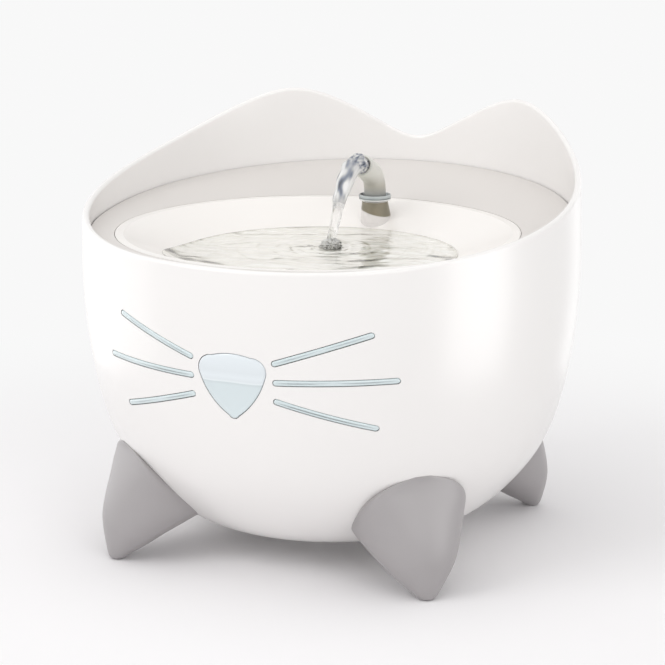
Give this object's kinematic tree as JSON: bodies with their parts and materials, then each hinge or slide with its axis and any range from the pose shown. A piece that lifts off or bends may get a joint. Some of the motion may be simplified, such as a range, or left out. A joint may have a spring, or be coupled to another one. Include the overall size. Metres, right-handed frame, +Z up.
{
  "type": "pet water fountain",
  "caption": "Round pet drinking fountain with cat-ear rim, nose and whisker windows, lift-out dish, swivel spout, filter basket and submersible pump.",
  "frame": {"origin": "on the table, under the middle of the bowl", "axes": "+Z up, -Y to the front with the nose window, +X to the right seen from the front"},
  "size_m": [0.2418, 0.2437, 0.2068],
  "materials": {
    "white_shell": "glossy moulded plastic",
    "clear_window": "clear tinted polycarbonate",
    "soft_seal": "matt silicone",
    "grey_foot": "satin moulded plastic",
    "pale_surround": "satin moulded plastic",
    "dish_white": "glossy moulded plastic",
    "clear_riser": "clear moulded plastic",
    "clear_collar": "clear moulded plastic",
    "elbow_white": "translucent silicone",
    "basket_white": "moulded plastic",
    "foam": "open-cell foam",
    "carbon": "activated carbon felt",
    "hose_clear": "translucent silicone",
    "pump_dark": "moulded plastic",
    "rubber_black": "matt rubber",
    "shaft_ceramic": "polished",
    "magnet": "bonded ferrite",
    "impeller_white": "moulded plastic",
    "stator_steel": "laminated steel",
    "copper": "enamelled copper wire",
    "circuit_board": "printed board"
  },
  "bodies": {
    "reservoir": {"reservoir_shell": "white_shell", "window_lens": "clear_window", "window_seal": "soft_seal", "foot_front_right": "grey_foot", "foot_front_left": "grey_foot", "foot_back_right": "grey_foot", "foot_back_left": "grey_foot", "cable_grommet": "soft_seal", "outlet_hose": "hose_clear", "pump_housing": "pump_dark", "pump_back_plate": "pump_dark", "pump_cable_gland": "rubber_black", "volute_cover": "pump_dark", "rotor_shaft": "shaft_ceramic", "rear_bush": "rubber_black", "front_bush": "rubber_black", "stator_core": "stator_steel", "stator_coils": "copper", "driver_board": "circuit_board", "suction_cups": "rubber_black"},
    "surround": {"tray_surround": "pale_surround"},
    "dish": {"drinking_dish": "dish_white", "spout_riser": "clear_riser", "riser_seal": "rubber_black", "riser_nut": "basket_white"},
    "basket": {"filter_basket": "basket_white", "foam_pad": "foam", "carbon_pad": "carbon"},
    "collar": {"spout_collar": "clear_collar"},
    "spout": {"spout_elbow": "elbow_white"},
    "grille": {"inlet_grille": "pump_dark", "inlet_sponge": "carbon"},
    "rotor": {"rotor_magnet": "magnet", "impeller": "impeller_white"}
  },
  "joints": [
    {"name": "surround_lift", "type": "slide", "parent": "reservoir", "child": "surround", "axis": [0, 0, 1], "range_m": [0, 0.12]},
    {"name": "dish_lift", "type": "slide", "parent": "surround", "child": "dish", "axis": [0, 0, 1], "range_m": [0, 0.12]},
    {"name": "basket_drop", "type": "slide", "parent": "dish", "child": "basket", "axis": [0, 0, -1], "range_m": [0, 0.025]},
    {"name": "collar_pull", "type": "slide", "parent": "dish", "child": "collar", "axis": [0, 0, 1], "range_m": [0, 0.03]},
    {"name": "spout_swivel", "type": "hinge", "parent": "collar", "child": "spout", "pos_m": [0, 0.058, 0.161], "axis": [0, 0, 1], "range_deg": [-45, 45]},
    {"name": "grille_pull", "type": "slide", "parent": "reservoir", "child": "grille", "axis": [0, -1, 0], "range_m": [0, 0.03]},
    {"name": "impeller_spin", "type": "hinge", "parent": "reservoir", "child": "rotor", "pos_m": [0, 0.04, 0.039], "axis": [0, -1, 0], "continuous": true}
  ]
}
